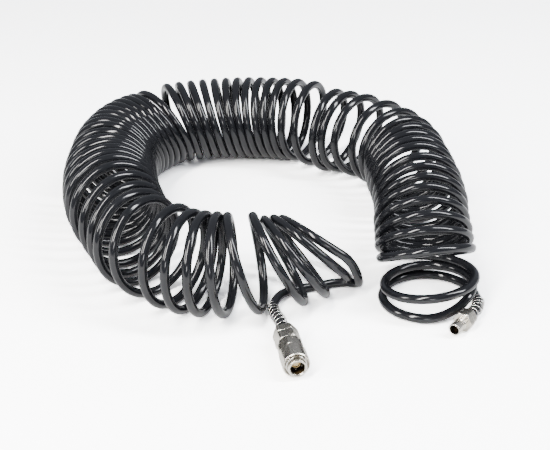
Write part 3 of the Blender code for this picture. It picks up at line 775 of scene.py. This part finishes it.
sleeve_outline = (
    (5.0, NOSE + 2.1),
    (5.0, SLEEVE - 0.6),
    (5.8, SLEEVE),
    (21.0, SLEEVE),
    (21.6, SLEEVE - 0.5),
    (22.2, SLEEVE - 0.5),
    (22.8, SLEEVE),
    (30.4, SLEEVE),
    (31.0, SLEEVE - 0.5),
    (31.0, CAVITY),
    (11.6, CAVITY),
    (11.6, NOSE + 0.3),
    (9.6, NOSE + 0.3),
    (9.6, NOSE + 2.1),
)
sleeve = turned_object(
    "socket_sleeve_turned", sleeve_outline, SOCKET_AXIS, NICKEL, SLEEVE_FLATS, HEX_TURN + 30, (22.0, 31.0)
)
dress(sleeve, "sleeve", "nickel_sleeve", "socket_sleeve")


# %% Adapter and hose nut
def hex_corner(flats):
    """The radius to a hexagon's corners from the width across its flats."""
    return flats / 2 / math.cos(math.pi / 6)


corner = hex_corner(SOCKET_FLATS)
adapter_outline = (
    (39.7, 2.4),
    (39.7, 5.8),
    (45.0, 5.8),
    (45.0, corner - 1.4),
    (45.84, corner),
    (52.2, corner),
    (53.0, corner - 1.4),
    (53.0, 3.2),
    (60.5, 3.2),
    (60.5, 2.4),
)
adapter = turned_object("socket_adapter_hex", adapter_outline, SOCKET_AXIS, NICKEL, SOCKET_FLATS, HEX_TURN)
dress(adapter, "hose", "nickel_adapter", "socket_adapter")

nut_outline = (
    (53.2, 3.5),
    (53.2, 6.7),
    (56.0, 6.7),
    (SOCKET_NUT_END, 5.9),
    (SOCKET_NUT_END, 4.1),
    (56.0, 2.4),
    (56.0, 3.5),
)
nut = turned_object("socket_nut_turned", nut_outline, SOCKET_AXIS, NICKEL)
dress(nut, "hose", "nickel_socket_nut", "socket_hose_nut")

# %% Valve, seal and stop ring
valve_outline = (
    (7.8, 0),
    (7.8, 2.3),
    (6.8, 2.9),
    (6.8, 3.4),
    (7.1, 3.7),
    (12.2, 3.7),
    (12.2, 4.8),
    (12.7, 5.3),
    (14.8, 5.3),
    (14.8, 2.3),
    (34.8, 2.3),
    (34.8, 0),
)
valve = turned_object("socket_valve_turned", valve_outline, SOCKET_AXIS, BRASS, closed=False)
dress(valve, "valve", "brass_valve", "socket_valve")

SEAL_BACK, SEAL_RADIUS, SEAL_THICK = 11.2, 4.6, 0.7
seal_angle = np.linspace(0, 2 * np.pi, 24, endpoint=False)
seal_outline = np.stack(
    [SEAL_BACK + SEAL_THICK * np.sin(seal_angle), SEAL_RADIUS + SEAL_THICK * np.cos(seal_angle)], 1
)
seal = turned_object("socket_seal_ring", seal_outline, SOCKET_AXIS, RUBBER, fillet=0.01)
dress(seal, "hose", "rubber_seal", "socket_seal")

RING_BACK, RING_WIRE, RING_GROOVE, RING_PLAY = 5.3, 0.6, 0.7, 0.3
RING_POINTS, RING_SIDES = 121, 12
ring_half_gap = math.radians(20)
ring_angle = np.linspace(ring_half_gap, 2 * np.pi - ring_half_gap, RING_POINTS)
ring_radius = (NOSE - RING_GROOVE + RING_PLAY + RING_WIRE) * MM
ring_path = np.stack(
    [
        SOCKET_MOUTH[0] + ring_radius * np.sin(ring_angle),
        np.full(RING_POINTS, SOCKET_MOUTH[1] + RING_BACK * MM),
        SOCKET_MOUTH[2] + ring_radius * np.cos(ring_angle),
    ],
    1,
)
ring = tube_object("socket_stop_ring_wire", ring_path, RING_WIRE * MM, RING_SIDES, WIRE)
dress(ring, "hose", "steel_springs", "socket_stop_ring")

# %% [markdown]
# ## Plug
#
# The nose slides into a socket, whose balls drop into the neck behind it. The hex and the nut clamp the
# hose.

# %% Plug pieces
PLUG_AXIS = (PLUG_NOSE, PLUG_TURNED)
PLUG_FLATS = 16.0
PLUG_NUT_FLATS = 14.0
plug_corner = hex_corner(PLUG_FLATS)
plug_outline = (
    (0, 4.15),
    (0, 4.75),
    (0.6, 5.3),
    (5.15, 5.3),
    (6, 4.45),
    (10, 4.45),
    (10.85, 5.3),
    (14, 5.3),
    (14, plug_corner - 1.4),
    (14.84, plug_corner),
    (19.16, plug_corner),
    (20, plug_corner - 1.4),
    (20, 3.2),
    (26, 3.2),
    (26, 2.4),
    (14, 2.4),
    (14, 3.5),
    (3, 3.9),
)
plug = turned_object("plug_body_turned", plug_outline, PLUG_AXIS, NICKEL, PLUG_FLATS)
dress(plug, "hose", "nickel_plug", "plug_body")

plug_nut_corner = hex_corner(PLUG_NUT_FLATS)
plug_nut_outline = (
    (20.3, 3.5),
    (20.3, plug_nut_corner - 0.7),
    (21.0, plug_nut_corner),
    (25.6, plug_nut_corner),
    (PLUG_NUT_END, plug_nut_corner - 0.7),
    (PLUG_NUT_END, 4.1),
    (25.0, 2.4),
    (25.0, 3.5),
)
plug_nut = turned_object("plug_nut_hex", plug_nut_outline, PLUG_AXIS, NICKEL, PLUG_NUT_FLATS)
dress(plug_nut, "hose", "nickel_plug_nut", "plug_hose_nut")

# %% [markdown]
# ## Pieces kept from the CAD model
#
# The balls and the two inner springs are the right shape already and hardly show, so they only get the
# wire's material.

# %% Kept nodes
KEPT_NAMES = ("locking_ball", "socket_sleeve_spring", "socket_valve_spring")
kept = [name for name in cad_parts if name.startswith(KEPT_NAMES)]
for name in kept:
    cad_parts[name].data.materials.clear()
    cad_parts[name].data.materials.append(WIRE)
print("kept", kept)

# %% [markdown]

# %% [markdown]
# ## Studio
#
# A pale floor under soft light. The hose is nearly black, so what shows its shape is the reflection of
# the lamps. A lamp that is long in a turn's own plane draws a long thin streak along the tube, so two
# tall strips stand left and right, and a low one in front draws the second streak. The photograph's
# floor is burnt out to white. Light enough for that would flood the hose with its reflection, so the
# floor only answers rays that come straight from the camera with more light, wherever the camera is.
#
# A lamp shines along its own -Z axis. With the vector from the target to the lamp, the tilt from upright
# and the turn about the vertical follow by two arctangents.


# %% Floor and light
WARM_WHITE = (1.0, 0.98, 0.95)
COOL_WHITE = (0.95, 0.97, 1.0)
WHITE = (1.0, 1.0, 1.0)
SKY = (0.88, 0.92, 1.0, 1)
SKY_STRENGTH = 0.34
FLOOR_REACH = 9
FLOOR_DARK, FLOOR_LIGHT = (0.83, 0.835, 0.84), (0.86, 0.865, 0.87)
FLOOR_SEEN = (4.0, 4.0, 4.0)
# Name, place and target in m, width and height in m, power in W, colour.
LAMPS = (
    ("strip_left", (-0.75, -0.85, 1.3), (0, 0, 0.05), (0.2, 1.5), 42, WARM_WHITE),
    ("strip_right", (1.1, -0.5, 1.35), (0, 0, 0.05), (0.3, 1.5), 38, COOL_WHITE),
    ("side_left", (-1.5, -0.3, 0.8), (0, -0.1, 0.05), (0.3, 0.7), 15, WARM_WHITE),
    ("low_front", (-0.3, -1.9, 0.55), (0, 0.1, 0.05), (0.4, 0.3), 5, WHITE),
)


def area_light(name, place, target, size, power, colour):
    """A rectangular lamp that points at the target."""
    data = bpy.data.lights.new(name, "AREA")
    data.shape = "RECTANGLE"
    data.size, data.size_y = size
    data.energy = power
    data.color = colour
    made = bpy.data.objects.new(name, data)
    made.location = place
    away = np.array(place, float) - np.array(target, float)
    pitch = math.atan2(math.hypot(away[0], away[1]), away[2])
    made.rotation_euler = (pitch, 0, math.atan2(away[0], -away[1]))
    bpy.context.scene.collection.objects.link(made)


floor_mesh = bpy.data.meshes.new("floor")
floor_corners = [(x * FLOOR_REACH, y * FLOOR_REACH, 0) for x, y in ((-1, -1), (1, -1), (1, 1), (-1, 1))]
floor_mesh.from_pydata(floor_corners, [], [(0, 1, 2, 3)])
floor = bpy.data.objects.new("floor", floor_mesh)
bpy.context.scene.collection.objects.link(floor)
floor_paint, floor_tree, floor_shader = start_material("pale_floor")
floor_patches = use(floor_tree, SOFT_PATCHES, Scale=1.3, Contrast=0.8)
floor_white = mix_colour(floor_tree, floor_patches, FLOOR_DARK, FLOOR_LIGHT)
seen = floor_tree.nodes.new("ShaderNodeLightPath").outputs["Is Camera Ray"]
floor_tree.links.new(mix_colour(floor_tree, seen, floor_white, FLOOR_SEEN), floor_shader["Base Color"])
floor_shader["Roughness"].default_value = 0.8
floor_shader["Specular IOR Level"].default_value = 0.1
floor_mesh.materials.append(floor_paint)

world = bpy.data.worlds.new("studio")
world.use_nodes = True
world.node_tree.nodes["Background"].inputs["Color"].default_value = SKY
world.node_tree.nodes["Background"].inputs["Strength"].default_value = SKY_STRENGTH
bpy.context.scene.world = world

for lamp in LAMPS:
    area_light(*lamp)
